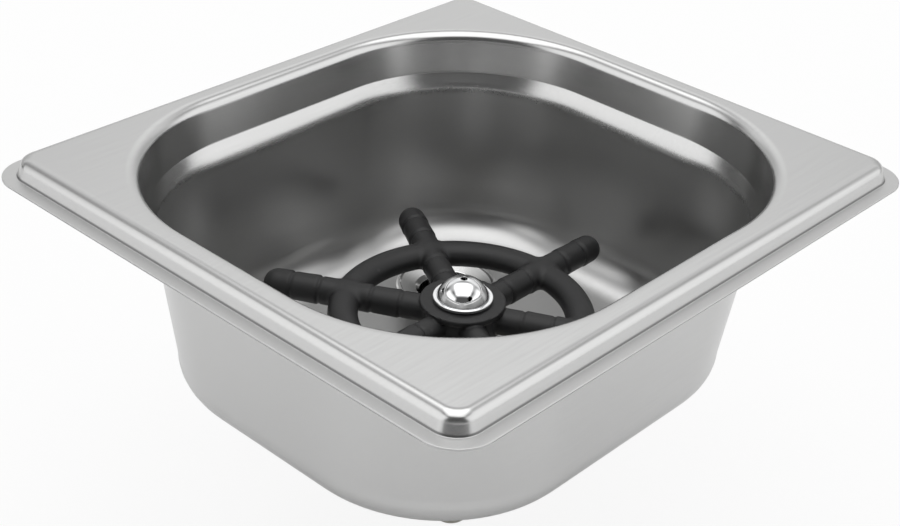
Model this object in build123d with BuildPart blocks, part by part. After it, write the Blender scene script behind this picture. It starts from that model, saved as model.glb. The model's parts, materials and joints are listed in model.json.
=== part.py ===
from build123d import *
import os
from math import cos, pi, radians, sin, sqrt

# Press-down glass rinser in a one-sixth gastronorm pan.
# Millimetres. +Z is up, X runs along the pan's short side and Y along its long side.
# The origin is the middle of the pan in plan, on the plane where its lip rests on a worktop.

os.makedirs("parts", exist_ok=True)

# Driving sizes of the pan
pan_width = 162.0
pan_length = 176.0
pan_depth = 64.35
sheet = 0.7
lip_width = 3.25
lip_corner = 10.0
lip_edge_round = 0.2
rim_rise = 4.9
rim_foot_corner = 7.2
rim_slope_run = 2.0
rim_top_corner = 5.2
rim_bend = 3.2
rim_width = 12.65
foot_bend = 0.3

# Driving sizes of the bowl, measured on its inner face
mouth_corner = 49.1
mouth_bend = 3.4
upper_wall_depth = 11.75
upper_wall_lean = 2.25
upper_wall_corner = 46.9
shoulder_step = 2.4
shoulder_drop = 4.4
shoulder_corner = 41.9
shoulder_bend = 1.6
shoulder_round = 7.0
lower_wall_lean = 4.4
floor_corner = 43.3
floor_bend = 11.9

# Driving sizes shared by the valve and the drain
thread_diameter = 20.955
hole_clearance = 0.3
thread_clearance = 0.05
running_clearance = 0.05
part_gap = 0.3
nut_sides = 6
nut_flats = 27.0
nut_height = 8.0
nut_chamfer = 1.0
fibre_thickness = 1.5
slip_thickness = 0.8

# Driving sizes of the wheel
valve_offset = 3.2
axle_height = 17.8
press_travel = 4.5
wheel_turn = 29.2
arm_count = 6
arm_diameter = 7.5
arm_end_diameter = 7.95
arm_side_gap = 9.05
arm_end_gap = 12.15
inner_joint_shares = (0.3012, 0.4482)
outer_joint_shares = (0.7117, 0.8533)
joint_width = 0.9
joint_depth = 0.3
ring_diameter = 64.0
ring_width = 8.2
ring_thickness = 7.0
collar_diameter = 23.2
collar_rise = 4.85
collar_thickness = 1.9
collar_round = 0.5
hub_diameter = 20.4
hub_drop = 4.15

# Driving sizes of the nozzle
nozzle_diameter = 16.2
nozzle_flange = 0.9
dome_diameter = 14.2
dome_height = 5.3
dome_wall = 1.0
skirt_diameter = 13.2
centre_jet = 1.9
side_jet = 1.2
side_jet_count = 4
side_jet_turn = -30.0
side_jet_tilt = 52.0

# Driving sizes of the stem and what it carries
stem_diameter = 8.0
stem_bore = 5.2
stem_engagement = 4.6
stem_shoulder = 16.0
shoulder_thickness = 1.6
nozzle_seal_thickness = 0.8
wheel_washer_diameter = 17.4
wheel_washer_thickness = 0.6
clip_thickness = 0.8
clip_diameter = 11.6
clip_groove = 6.8
spring_seat_diameter = 15.0
spring_seat_thickness = 1.0
cross_hole = 2.0
cross_hole_count = 4
cross_hole_rise = 2.6
stem_taper = 1.0
rod_diameter = 4.0
rod_end = 0.7
poppet_thread = 3.0
poppet_diameter = 12.0
poppet_thickness = 1.8
poppet_seal_diameter = 11.2
poppet_seal_thickness = 1.6
poppet_nut_flats = 5.5
poppet_nut_height = 2.2

# Driving sizes of the spring
spring_diameter = 12.4
spring_wire = 1.0
spring_length = 12.4
spring_middle_turns = 3
spring_end_rise = 1.5

# Driving sizes of the valve housing
gasket_thickness = 1.5
gasket_diameter = 32.0
flange_thickness = 2.2
flange_diameter = 31.0
flange_bend = 1.2
neck_height = 1.35
neck_diameter = 18.0
pocket_diameter = 12.0
bush_flange = 0.8
bush_flange_diameter = 15.2
bush_length = 5.4
stem_seal_section = 1.8
seal_pocket = 2.0
web_thickness = 1.5
web_clearance = 0.3
chamber_diameter = 15.6
lower_bore = 17.2
body_drop = 29.25
seat_thickness = 4.0
seat_bore = 8.4
seat_lip = 0.6
seat_lip_width = 1.0
seat_seal_section = 1.4
seat_gap = 0.1

# Driving sizes of the inlet
inlet_washer_thickness = 1.0
inlet_nose = 14.4
inlet_hex_flats = 22.0
inlet_hex_height = 7.0
inlet_tube = 10.0
inlet_bore = 7.0
inlet_drop = 50.0
tube_chamfer = 0.5
filter_thickness = 0.8
filter_hole = 0.9
filter_spacing = 1.4
filter_rings = 2

# Driving sizes of the drain
drain_side_inset = 40.85
drain_end_inset = 47.75
drain_diameter = 30.0
drain_bore = 16.0
drain_drop = 36.0
drain_thread = 14.0
drain_spigot = 20.0
spigot_chamfer = 0.5
drain_rim = 1.5
drain_rim_width = 1.2
drain_dish_depth = 1.5
drain_gasket_thickness = 1.0
drain_gasket_inset = 0.7

# Levels that follow from these sizes
rim_top = sheet + rim_rise
mouth_width = pan_width - 2 * rim_width
mouth_length = pan_length - 2 * rim_width
upper_level = rim_top - upper_wall_depth
lower_level = upper_level - shoulder_drop
lean_at_shoulder = upper_wall_lean + shoulder_step
lean_at_floor = lean_at_shoulder + lower_wall_lean
floor_top = rim_top - pan_depth + sheet
floor_under = floor_top - sheet
axle_level = floor_top + axle_height
collar_top = axle_level + collar_rise
hub_bottom = axle_level - hub_drop
thread_radius = thread_diameter / 2
valve_axis = Axis((valve_offset, 0, 0), (0, 0, 1))
drain_x = drain_side_inset - mouth_width / 2
drain_y = mouth_length / 2 - drain_end_inset
drain_axis = Axis((drain_x, drain_y, 0), (0, 0, 1))


def save(part, name):
    """Label one finished piece and write its file."""
    part.label = name
    export_step(part, f"parts/{name}.step")


def ring_edges(part, level):
    """Edges of a part that lie wholly on one level."""
    band = sheet / 100
    return part.edges().filter_by_position(Axis.Z, level - band, level + band)


def ring_within(part, level, width, length):
    """Edges on one level that lie inside a rectangle round the origin."""

    def inside(edge):
        box = edge.bounding_box()
        side = max(-box.min.X, box.max.X)
        end = max(-box.min.Y, box.max.Y)
        return side < width / 2 and end < length / 2

    return ring_edges(part, level).filter_by(inside)


def valve_at(level):
    """Level plane centred on the valve."""
    return Plane((valve_offset, 0, level))


def drain_at(level):
    """Level plane centred on the drain."""
    return Plane((drain_x, drain_y, level))


def upright(origin_x, origin_y):
    """Upright plane through an axis: x runs outwards, y runs up."""
    return Plane((origin_x, origin_y, 0), x_dir=(1, 0, 0), z_dir=(0, -1, 0))


def hexagon_block(top, flats, height):
    """Hexagon that hangs from a level plane, its corners chamfered."""
    with BuildPart() as block:
        with BuildSketch(top):
            Circle(flats / 2 / cos(pi / nut_sides))
        extrude(amount=-height)
        chamfer(block.edges().filter_by(GeomType.CIRCLE), nut_chamfer)
        with BuildSketch(top):
            RegularPolygon(flats / 2, nut_sides, major_radius=False)
        extrude(amount=-height, mode=Mode.INTERSECT)
    return block.part


# Pan


def bowl_solid(grow):
    """The tray that fills the bowl, every face moved out by grow."""
    stations = (
        (rim_top, 0, mouth_corner),
        (upper_level, upper_wall_lean, upper_wall_corner),
        (lower_level, lean_at_shoulder, shoulder_corner),
        (floor_top - grow, lean_at_floor, floor_corner),
    )
    with BuildPart() as tray:
        for level, lean, corner in stations:
            with BuildSketch(Plane.XY.offset(level)):
                RectangleRounded(
                    mouth_width - 2 * (lean - grow),
                    mouth_length - 2 * (lean - grow),
                    corner + grow,
                )
        loft(ruled=True)
        fillet(ring_edges(tray, floor_top - grow), floor_bend + grow)
        fillet(ring_edges(tray, lower_level), shoulder_round + grow)
        fillet(ring_edges(tray, upper_level), shoulder_bend)
    return tray.part


def rim_solid(shrink):
    """The raised rim as a block, its sides and top moved in by shrink."""
    foot_x = pan_width - 2 * (lip_width + shrink)
    foot_y = pan_length - 2 * (lip_width + shrink)
    with BuildPart() as block:
        with BuildSketch(Plane.XY):
            RectangleRounded(foot_x, foot_y, rim_foot_corner - shrink)
        with BuildSketch(Plane.XY.offset(rim_top - shrink)):
            RectangleRounded(
                foot_x - 2 * rim_slope_run,
                foot_y - 2 * rim_slope_run,
                rim_top_corner - shrink,
            )
        loft()
        fillet(block.faces().sort_by(Axis.Z)[-1].edges(), rim_bend - shrink)
    return block.part


bowl_inner = bowl_solid(0)
bowl_outer = bowl_solid(sheet)
rim_outer = rim_solid(0)
rim_inner = rim_solid(sheet)

with BuildPart() as pan:
    with BuildSketch(Plane.XY):
        RectangleRounded(pan_width, pan_length, lip_corner)
    extrude(amount=sheet)
    fillet(pan.edges().filter_by(Plane.XY), lip_edge_round)
    add(rim_outer)
    add(rim_inner, mode=Mode.SUBTRACT)
    add(bowl_outer)
    add(bowl_inner, mode=Mode.SUBTRACT)
    mouth_reach = (mouth_width + mouth_bend, mouth_length + mouth_bend)
    fillet(ring_within(pan, rim_top, *mouth_reach), mouth_bend)
    fillet(ring_within(pan, rim_top - sheet, *mouth_reach), mouth_bend - sheet)
    foot_reach = (pan_width - lip_width, pan_length - lip_width)
    fillet(ring_within(pan, sheet, *foot_reach), foot_bend)
    with Locations((valve_offset, 0, floor_top), (drain_x, drain_y, floor_top)):
        Hole(thread_radius + hole_clearance, depth=2 * sheet)
save(pan.part, "pan")

# Wheel

wheel_bore = skirt_diameter / 2 + running_clearance
hub_radius = hub_diameter / 2
arm_radius = arm_diameter / 2
arm_end_radius = arm_end_diameter / 2
ring_radius = ring_diameter / 2
axle_depth_share = (lower_level - axle_level) / (lower_level - floor_top)
lean_at_axle = lean_at_shoulder + lower_wall_lean * axle_depth_share
reach_aside = mouth_width / 2 - lean_at_axle - valve_offset - arm_side_gap
reach_along = mouth_length / 2 - lean_at_axle - arm_end_gap
arm_reach = min(reach_aside / cos(radians(wheel_turn)), reach_along)

with BuildPart() as star_wheel:
    with BuildSketch(upright(valve_offset, 0)):
        with BuildLine():
            Polyline(
                (0, hub_bottom),
                (hub_radius - collar_round, hub_bottom),
                (hub_radius, axle_level),
                (hub_radius, collar_top - collar_thickness),
                (collar_diameter / 2, collar_top - collar_thickness),
                (collar_diameter / 2, collar_top),
                (0, collar_top),
                close=True,
            )
        make_face()
    revolve(axis=valve_axis)
    fillet(ring_edges(star_wheel, collar_top), collar_round)
    with BuildSketch(upright(valve_offset, 0)):
        with Locations((ring_radius, axle_level)):
            Ellipse(ring_width / 2, ring_thickness / 2)
    revolve(axis=valve_axis)
    for number in range(arm_count):
        turn = wheel_turn + number * 360 / arm_count
        outwards = Vector(cos(radians(turn)), sin(radians(turn)), 0)
        arm_plane = Plane(
            (valve_offset, 0, axle_level), x_dir=outwards, z_dir=outwards.cross(Vector(0, 0, 1))
        )
        with BuildSketch(arm_plane) as arm_profile:
            with BuildLine():
                shaft_end = arm_reach - arm_end_radius
                Line((0, 0), (arm_reach, 0))
                RadiusArc((arm_reach, 0), (shaft_end, arm_end_radius), -arm_end_radius)
                Line((shaft_end, arm_end_radius), (ring_radius, arm_end_radius))
                Line((ring_radius, arm_end_radius), (ring_radius, arm_radius))
                Line((ring_radius, arm_radius), (0, arm_radius))
                Line((0, arm_radius), (0, 0))
            make_face()
            with Locations(*[(share * arm_reach, arm_radius) for share in inner_joint_shares]):
                Rectangle(joint_width, 2 * joint_depth, mode=Mode.SUBTRACT)
            with Locations(*[(share * arm_reach, arm_end_radius) for share in outer_joint_shares]):
                Rectangle(joint_width, 2 * joint_depth, mode=Mode.SUBTRACT)
        revolve(axis=Axis((valve_offset, 0, axle_level), outwards))
    with Locations((valve_offset, 0, collar_top)):
        Hole(wheel_bore, depth=collar_top - hub_bottom)
save(star_wheel.part, "star_wheel")

# Stem levels, from the wheel down

washer_top = hub_bottom - part_gap
shoulder_top = washer_top - wheel_washer_thickness
shoulder_bottom = shoulder_top - shoulder_thickness
skirt_bottom = shoulder_top + nozzle_seal_thickness
flange_bottom = collar_top + part_gap
dome_foot = flange_bottom + nozzle_flange
stem_radius = stem_diameter / 2
shoulder_radius = stem_shoulder / 2

with BuildPart() as wheel_washer:
    with BuildSketch(valve_at(shoulder_top)):
        Circle(wheel_washer_diameter / 2)
        Circle(wheel_bore, mode=Mode.SUBTRACT)
    extrude(amount=wheel_washer_thickness)
save(wheel_washer.part, "wheel_washer")

with BuildPart() as nozzle_seal:
    with BuildSketch(valve_at(shoulder_top)):
        Circle(skirt_diameter / 2)
        Circle(stem_radius + thread_clearance, mode=Mode.SUBTRACT)
    extrude(amount=nozzle_seal_thickness)
save(nozzle_seal.part, "nozzle_seal")

# Nozzle: domed cap, flange and threaded skirt in one piece

dome_foot_radius = dome_diameter / 2
dome_radius = (dome_foot_radius**2 + dome_height**2) / (2 * dome_height)
dome_centre = dome_foot + dome_height - dome_radius
cavity_radius = dome_radius - dome_wall
cavity_foot_radius = skirt_diameter / 2 - dome_wall
cavity_foot = dome_centre + sqrt(cavity_radius**2 - cavity_foot_radius**2)
stem_top = skirt_bottom + stem_engagement

with BuildPart() as spray_nozzle:
    with BuildSketch(upright(valve_offset, 0)):
        with BuildLine():
            Line((0, skirt_bottom), (skirt_diameter / 2, skirt_bottom))
            Line((skirt_diameter / 2, skirt_bottom), (skirt_diameter / 2, flange_bottom))
            Line((skirt_diameter / 2, flange_bottom), (nozzle_diameter / 2, flange_bottom))
            Line((nozzle_diameter / 2, flange_bottom), (nozzle_diameter / 2, dome_foot))
            Line((nozzle_diameter / 2, dome_foot), (dome_foot_radius, dome_foot))
            RadiusArc((dome_foot_radius, dome_foot), (0, dome_foot + dome_height), -dome_radius)
            Line((0, dome_foot + dome_height), (0, skirt_bottom))
        make_face()
    revolve(axis=valve_axis)
    with BuildSketch(upright(valve_offset, 0)):
        with BuildLine():
            Line((0, stem_top), (cavity_foot_radius, stem_top))
            Line((cavity_foot_radius, stem_top), (cavity_foot_radius, cavity_foot))
            RadiusArc((cavity_foot_radius, cavity_foot), (0, dome_centre + cavity_radius), -cavity_radius)
            Line((0, dome_centre + cavity_radius), (0, stem_top))
        make_face()
    revolve(axis=valve_axis, mode=Mode.SUBTRACT)
    with Locations((valve_offset, 0, stem_top)):
        Hole(stem_radius + thread_clearance, depth=stem_top - skirt_bottom)
    with Locations((valve_offset, 0, dome_foot + dome_height)):
        Hole(centre_jet / 2, depth=2 * dome_wall)
    for number in range(side_jet_count):
        turn = radians(side_jet_turn + number * 360 / side_jet_count)
        tilt = radians(side_jet_tilt)
        aim = Vector(sin(tilt) * cos(turn), sin(tilt) * sin(turn), cos(tilt))
        mouth = Vector(valve_offset, 0, dome_centre) + aim * (dome_radius + dome_wall)
        with BuildSketch(Plane(mouth, z_dir=aim)):
            Circle(side_jet / 2)
        extrude(amount=-3 * dome_wall, mode=Mode.SUBTRACT)
save(spray_nozzle.part, "spray_nozzle")

# Valve housing levels, from the floor up and down

gasket_top = floor_top + gasket_thickness
flange_top = gasket_top + flange_thickness
neck_top = flange_top + neck_height
bush_bottom = neck_top - bush_length
pocket_bottom = bush_bottom - seal_pocket
web_bottom = pocket_bottom - web_thickness
body_bottom = floor_under - body_drop
clip_top = web_bottom - part_gap
spring_seat_top = clip_top - clip_thickness
spring_top = spring_seat_top - spring_seat_thickness
spring_bottom = spring_top - spring_length
seat_bottom = spring_bottom - seat_thickness
seat_face = seat_bottom - seat_lip
poppet_seal_top = seat_face - seat_gap
poppet_top = poppet_seal_top - poppet_seal_thickness
poppet_bottom = poppet_top - poppet_thickness
rod_bottom = poppet_bottom - poppet_nut_height - rod_end
rod_radius = rod_diameter / 2
sleeve_bottom = spring_bottom + press_travel + part_gap
cross_hole_level = sleeve_bottom + cross_hole_rise

with BuildPart() as stem:
    with BuildSketch(upright(valve_offset, 0)):
        with BuildLine():
            Polyline(
                (0, stem_top),
                (stem_radius, stem_top),
                (stem_radius, shoulder_top),
                (shoulder_radius, shoulder_top),
                (shoulder_radius, shoulder_bottom),
                (stem_radius, shoulder_bottom),
                (stem_radius, clip_top),
                (clip_groove / 2, clip_top),
                (clip_groove / 2, spring_seat_top),
                (stem_radius, spring_seat_top),
                (stem_radius, sleeve_bottom),
                (rod_radius, sleeve_bottom - stem_taper),
                (rod_radius, poppet_seal_top),
                (poppet_thread / 2, poppet_seal_top),
                (poppet_thread / 2, rod_bottom),
                (0, rod_bottom),
                close=True,
            )
        make_face()
    revolve(axis=valve_axis)
    with Locations((valve_offset, 0, stem_top)):
        Hole(stem_bore / 2, depth=stem_top - cross_hole_level + cross_hole)
    for number in range(cross_hole_count // 2):
        turn = radians(number * 360 / cross_hole_count)
        across = Vector(cos(turn), sin(turn), 0)
        with BuildSketch(Plane((valve_offset, 0, cross_hole_level), z_dir=across)):
            Circle(cross_hole / 2)
        extrude(amount=stem_diameter, both=True, mode=Mode.SUBTRACT)
save(stem.part, "stem")

with BuildPart() as stem_clip:
    with BuildSketch(valve_at(spring_seat_top)):
        Circle(clip_diameter / 2)
        Circle(clip_groove / 2, mode=Mode.SUBTRACT)
        with Locations((clip_diameter / 2, 0)):
            Rectangle(clip_diameter, clip_groove * sin(radians(45)), mode=Mode.SUBTRACT)
    extrude(amount=clip_thickness)
save(stem_clip.part, "stem_clip")

with BuildPart() as spring_seat:
    with BuildSketch(valve_at(spring_top)):
        Circle(spring_seat_diameter / 2)
        Circle(stem_radius + running_clearance, mode=Mode.SUBTRACT)
    extrude(amount=spring_seat_thickness)
save(spring_seat.part, "spring_seat")

# Return spring: one wire on pairs of tangent arcs, two for each quarter turn

spring_radius = spring_diameter / 2
middle_pitch = (spring_length - spring_wire - 2 * spring_end_rise) / spring_middle_turns
quarter_share = 1 / 4
spring_turns = spring_middle_turns + 2


def wire_rise(turns):
    """Rise of the wire's centre line: one close turn, the open turns, one close turn."""
    first = min(turns, 1)
    middle = min(max(turns - 1, 0), spring_middle_turns)
    last = max(turns - 1 - spring_middle_turns, 0)
    return spring_end_rise * (first + last) + middle_pitch * middle


def wire_point(quarter):
    """Point and direction of the centre line after so many quarter turns."""
    turns = quarter * quarter_share
    climb = wire_rise(turns + quarter_share) - wire_rise(turns - quarter_share)
    slope = climb / radians(2 * 360 * quarter_share)
    turn = radians(360 * turns)
    point = Vector(
        valve_offset + spring_radius * cos(turn),
        spring_radius * sin(turn),
        spring_bottom + spring_wire / 2 + wire_rise(turns),
    )
    way = Vector(-spring_radius * sin(turn), spring_radius * cos(turn), slope)
    return point, way.normalized()


def joining(start, start_way, end, end_way):
    """Point and direction where two equal-reach arcs meet between two ends."""
    chord = end - start
    along = chord.dot(start_way + end_way)
    bend = 2 * (1 - start_way.dot(end_way))
    reach = (sqrt(along**2 + bend * chord.dot(chord)) - along) / bend
    near = start + start_way * reach
    far = end - end_way * reach
    return (near + far) * 0.5, (far - near).normalized()


with BuildPart() as return_spring:
    with BuildLine() as wire_line:
        for quarter in range(round(spring_turns / quarter_share)):
            start, start_way = wire_point(quarter)
            end, end_way = wire_point(quarter + 1)
            middle, middle_way = joining(start, start_way, end, end_way)
            TangentArc(start, middle, tangent=start_way)
            TangentArc(middle, end, tangent=middle_way)
    with BuildSketch(Plane(wire_point(0)[0], z_dir=wire_point(0)[1])):
        Circle(spring_wire / 2)
    sweep()
save(return_spring.part, "return_spring")

samples_per_turn = 60
sample_count = samples_per_turn * spring_turns
wire = wire_line.wires()[0]
wire_points = [wire @ (sample / sample_count) for sample in range(sample_count + 1)]
least_pitch = min(
    (wire_points[one] - wire_points[other]).length
    for one in range(sample_count + 1)
    for other in range(one + samples_per_turn // 2, sample_count + 1)
)
print("least gap between the spring's turns:", round(least_pitch - spring_wire, 2))

# Poppet

with BuildPart() as poppet_seal:
    with BuildSketch(valve_at(poppet_top)):
        Circle(poppet_seal_diameter / 2)
        Circle(poppet_thread / 2 + thread_clearance, mode=Mode.SUBTRACT)
    extrude(amount=poppet_seal_thickness)
save(poppet_seal.part, "poppet_seal")

with BuildPart() as poppet:
    with BuildSketch(valve_at(poppet_bottom)):
        Circle(poppet_diameter / 2)
        Circle(poppet_thread / 2 + thread_clearance, mode=Mode.SUBTRACT)
    extrude(amount=poppet_thickness)
    chamfer(ring_edges(poppet, poppet_bottom).sort_by(Edge.length)[-1:], poppet_thickness / 2)
save(poppet.part, "poppet")

with BuildPart() as poppet_nut:
    with BuildSketch(valve_at(poppet_bottom)):
        RegularPolygon(poppet_nut_flats / 2, nut_sides, major_radius=False)
        Circle(poppet_thread / 2 + thread_clearance, mode=Mode.SUBTRACT)
    extrude(amount=-poppet_nut_height)
save(poppet_nut.part, "poppet_nut")

# Valve housing

pocket_radius = pocket_diameter / 2
chamber_radius = chamber_diameter / 2
lower_radius = lower_bore / 2
web_radius = stem_radius + web_clearance

with BuildPart() as valve_body:
    with BuildSketch(upright(valve_offset, 0)):
        with BuildLine():
            Polyline(
                (pocket_radius, neck_top),
                (neck_diameter / 2, neck_top),
                (neck_diameter / 2, flange_top),
                (flange_diameter / 2, flange_top),
                (flange_diameter / 2, gasket_top),
                (thread_radius, gasket_top),
                (thread_radius, body_bottom),
                (lower_radius, body_bottom),
                (lower_radius, spring_bottom),
                (chamber_radius, spring_bottom),
                (chamber_radius, web_bottom),
                (web_radius, web_bottom),
                (web_radius, pocket_bottom),
                (pocket_radius, pocket_bottom),
                close=True,
            )
        make_face()
    revolve(axis=valve_axis)
    fillet(ring_edges(valve_body, flange_top).sort_by(Edge.length)[-1:], flange_bend)
save(valve_body.part, "valve_body")

with BuildPart() as guide_bush:
    with BuildSketch(upright(valve_offset, 0)):
        with BuildLine():
            Polyline(
                (stem_radius + running_clearance, bush_bottom),
                (pocket_radius, bush_bottom),
                (pocket_radius, neck_top),
                (bush_flange_diameter / 2, neck_top),
                (bush_flange_diameter / 2, neck_top + bush_flange),
                (stem_radius + running_clearance, neck_top + bush_flange),
                close=True,
            )
        make_face()
    revolve(axis=valve_axis)
save(guide_bush.part, "guide_bush")

with BuildPart() as stem_seal:
    with BuildSketch(upright(valve_offset, 0)):
        seal_middle = stem_radius + running_clearance + stem_seal_section / 2
        with Locations((seal_middle, pocket_bottom + seal_pocket / 2)):
            Circle(stem_seal_section / 2)
    revolve(axis=valve_axis)
save(stem_seal.part, "stem_seal")

with BuildPart() as body_gasket:
    with BuildSketch(valve_at(floor_top)):
        Circle(gasket_diameter / 2)
        Circle(thread_radius + thread_clearance, mode=Mode.SUBTRACT)
    extrude(amount=gasket_thickness)
save(body_gasket.part, "body_gasket")

with BuildPart() as body_fibre_washer:
    with BuildSketch(valve_at(floor_under)):
        Circle(nut_flats / 2)
        Circle(thread_radius + thread_clearance, mode=Mode.SUBTRACT)
    extrude(amount=-fibre_thickness)
save(body_fibre_washer.part, "body_fibre_washer")

with BuildPart() as body_slip_washer:
    with BuildSketch(valve_at(floor_under - fibre_thickness)):
        Circle(nut_flats / 2)
        Circle(thread_radius + thread_clearance, mode=Mode.SUBTRACT)
    extrude(amount=-slip_thickness)
save(body_slip_washer.part, "body_slip_washer")

body_nut_top = floor_under - fibre_thickness - slip_thickness

with BuildPart() as body_nut:
    add(hexagon_block(valve_at(body_nut_top), nut_flats, nut_height))
    with Locations((valve_offset, 0, body_nut_top)):
        Hole(thread_radius + thread_clearance, depth=nut_height)
save(body_nut.part, "body_nut")

# Valve seat

seat_radius = lower_radius - running_clearance
groove_depth = seat_seal_section - running_clearance
groove_top = spring_bottom - (seat_thickness - seat_seal_section) / 2 + running_clearance
groove_bottom = groove_top - seat_seal_section - 2 * running_clearance

with BuildPart() as seat_insert:
    with BuildSketch(upright(valve_offset, 0)):
        with BuildLine():
            Polyline(
                (seat_bore / 2, spring_bottom),
                (seat_radius, spring_bottom),
                (seat_radius, groove_top),
                (seat_radius - groove_depth, groove_top),
                (seat_radius - groove_depth, groove_bottom),
                (seat_radius, groove_bottom),
                (seat_radius, seat_bottom),
                (seat_bore / 2 + seat_lip_width, seat_bottom),
                (seat_bore / 2 + seat_lip_width / 2, seat_face),
                (seat_bore / 2, seat_face),
                close=True,
            )
        make_face()
    revolve(axis=valve_axis)
save(seat_insert.part, "seat_insert")

with BuildPart() as seat_seal:
    with BuildSketch(upright(valve_offset, 0)):
        with Locations((lower_radius - seat_seal_section / 2, (groove_top + groove_bottom) / 2)):
            Circle(seat_seal_section / 2)
    revolve(axis=valve_axis)
save(seat_seal.part, "seat_seal")

# Inlet

nose_top = seat_bottom - inlet_washer_thickness
nose_radius = lower_radius - thread_clearance
nose_bore = inlet_nose / 2
hex_top = body_bottom - running_clearance
hex_bottom = hex_top - inlet_hex_height
filter_top = rod_bottom - press_travel - 3 * part_gap
filter_bottom = filter_top - filter_thickness
tube_end = floor_under - inlet_drop
tube_radius = inlet_tube / 2

with BuildPart() as inlet_washer:
    with BuildSketch(valve_at(nose_top)):
        Circle(nose_radius)
        Circle(nose_bore, mode=Mode.SUBTRACT)
    extrude(amount=inlet_washer_thickness)
save(inlet_washer.part, "inlet_washer")

with BuildPart() as inlet_fitting:
    add(hexagon_block(valve_at(hex_top), inlet_hex_flats, inlet_hex_height))
    with BuildSketch(upright(valve_offset, 0)):
        with BuildLine():
            Polyline(
                (0, nose_top),
                (nose_radius, nose_top),
                (nose_radius, hex_top),
                (tube_radius, hex_bottom),
                (tube_radius, tube_end + tube_chamfer),
                (tube_radius - tube_chamfer, tube_end),
                (0, tube_end),
                close=True,
            )
        make_face()
    revolve(axis=valve_axis)
    with BuildSketch(upright(valve_offset, 0)):
        with BuildLine():
            Polyline(
                (0, nose_top),
                (nose_bore, nose_top),
                (nose_bore, filter_bottom),
                (inlet_bore / 2, filter_bottom),
                (inlet_bore / 2, tube_end),
                (0, tube_end),
                close=True,
            )
        make_face()
    revolve(axis=valve_axis, mode=Mode.SUBTRACT)
save(inlet_fitting.part, "inlet_fitting")

with BuildPart() as inlet_filter:
    with BuildSketch(valve_at(filter_bottom)):
        Circle(nose_bore - thread_clearance)
        Circle(filter_hole / 2, mode=Mode.SUBTRACT)
        for number in range(1, filter_rings + 1):
            with PolarLocations(number * filter_spacing, 6 * number):
                Circle(filter_hole / 2, mode=Mode.SUBTRACT)
    extrude(amount=filter_thickness)
save(inlet_filter.part, "inlet_filter")

# Drain

drain_seat = floor_top + drain_gasket_thickness
drain_top = drain_seat + drain_rim
drain_radius = drain_diameter / 2
drain_end = floor_under - drain_drop
thread_end = floor_under - drain_thread
spigot_radius = drain_spigot / 2

with BuildPart() as drain_flange:
    with BuildSketch(upright(drain_x, drain_y)):
        with BuildLine():
            Polyline(
                (drain_bore / 2, drain_end),
                (spigot_radius - spigot_chamfer, drain_end),
                (spigot_radius, drain_end + spigot_chamfer),
                (spigot_radius, thread_end),
                (thread_radius, thread_end + spigot_chamfer),
                (thread_radius, drain_seat),
                (drain_radius, drain_seat),
                (drain_radius, drain_top - drain_rim_width / 2),
                (drain_radius - drain_rim_width / 2, drain_top),
                (drain_radius - drain_rim_width, drain_top),
                (drain_bore / 2 + drain_rim_width, drain_top - drain_dish_depth),
                (drain_bore / 2, drain_top - drain_dish_depth - drain_rim_width),
                close=True,
            )
        make_face()
    revolve(axis=drain_axis)
save(drain_flange.part, "drain_flange")

with BuildPart() as drain_gasket:
    with BuildSketch(drain_at(floor_top)):
        Circle(drain_radius - drain_gasket_inset)
        Circle(thread_radius + thread_clearance, mode=Mode.SUBTRACT)
    extrude(amount=drain_gasket_thickness)
save(drain_gasket.part, "drain_gasket")

with BuildPart() as drain_fibre_washer:
    with BuildSketch(drain_at(floor_under)):
        Circle(nut_flats / 2)
        Circle(thread_radius + thread_clearance, mode=Mode.SUBTRACT)
    extrude(amount=-fibre_thickness)
save(drain_fibre_washer.part, "drain_fibre_washer")

drain_nut_top = floor_under - fibre_thickness

with BuildPart() as drain_nut:
    add(hexagon_block(drain_at(drain_nut_top), nut_flats, nut_height))
    with Locations((drain_x, drain_y, drain_nut_top)):
        Hole(thread_radius + thread_clearance, depth=nut_height)
save(drain_nut.part, "drain_nut")
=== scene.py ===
import json
import math

import bmesh
import bpy
import numpy as np
from mathutils import Matrix, Vector


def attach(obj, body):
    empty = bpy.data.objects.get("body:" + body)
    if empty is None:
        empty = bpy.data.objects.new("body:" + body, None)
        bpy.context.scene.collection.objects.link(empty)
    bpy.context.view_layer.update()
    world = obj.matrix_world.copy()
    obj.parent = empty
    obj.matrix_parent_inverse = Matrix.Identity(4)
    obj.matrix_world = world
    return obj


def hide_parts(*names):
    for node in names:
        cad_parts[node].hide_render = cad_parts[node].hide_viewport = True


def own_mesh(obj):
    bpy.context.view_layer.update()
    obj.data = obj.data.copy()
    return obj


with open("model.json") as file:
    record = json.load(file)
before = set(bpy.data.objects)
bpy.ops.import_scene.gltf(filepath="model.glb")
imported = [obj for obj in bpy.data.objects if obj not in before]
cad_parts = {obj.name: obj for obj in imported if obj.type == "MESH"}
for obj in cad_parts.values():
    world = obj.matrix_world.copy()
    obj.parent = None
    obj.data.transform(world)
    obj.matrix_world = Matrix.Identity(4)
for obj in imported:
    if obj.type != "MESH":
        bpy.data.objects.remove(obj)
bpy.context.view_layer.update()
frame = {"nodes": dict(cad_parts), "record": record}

# Press-down glass rinser in a one-sixth gastronorm pan, dressed for rendering.
# Sizes are written in millimetres, in the row frame, and made metres by METRE.

METRE = 0.001
BEND_STEP = 7.5
TURNED_STEPS = 96
FINE_STEPS = 128

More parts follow.
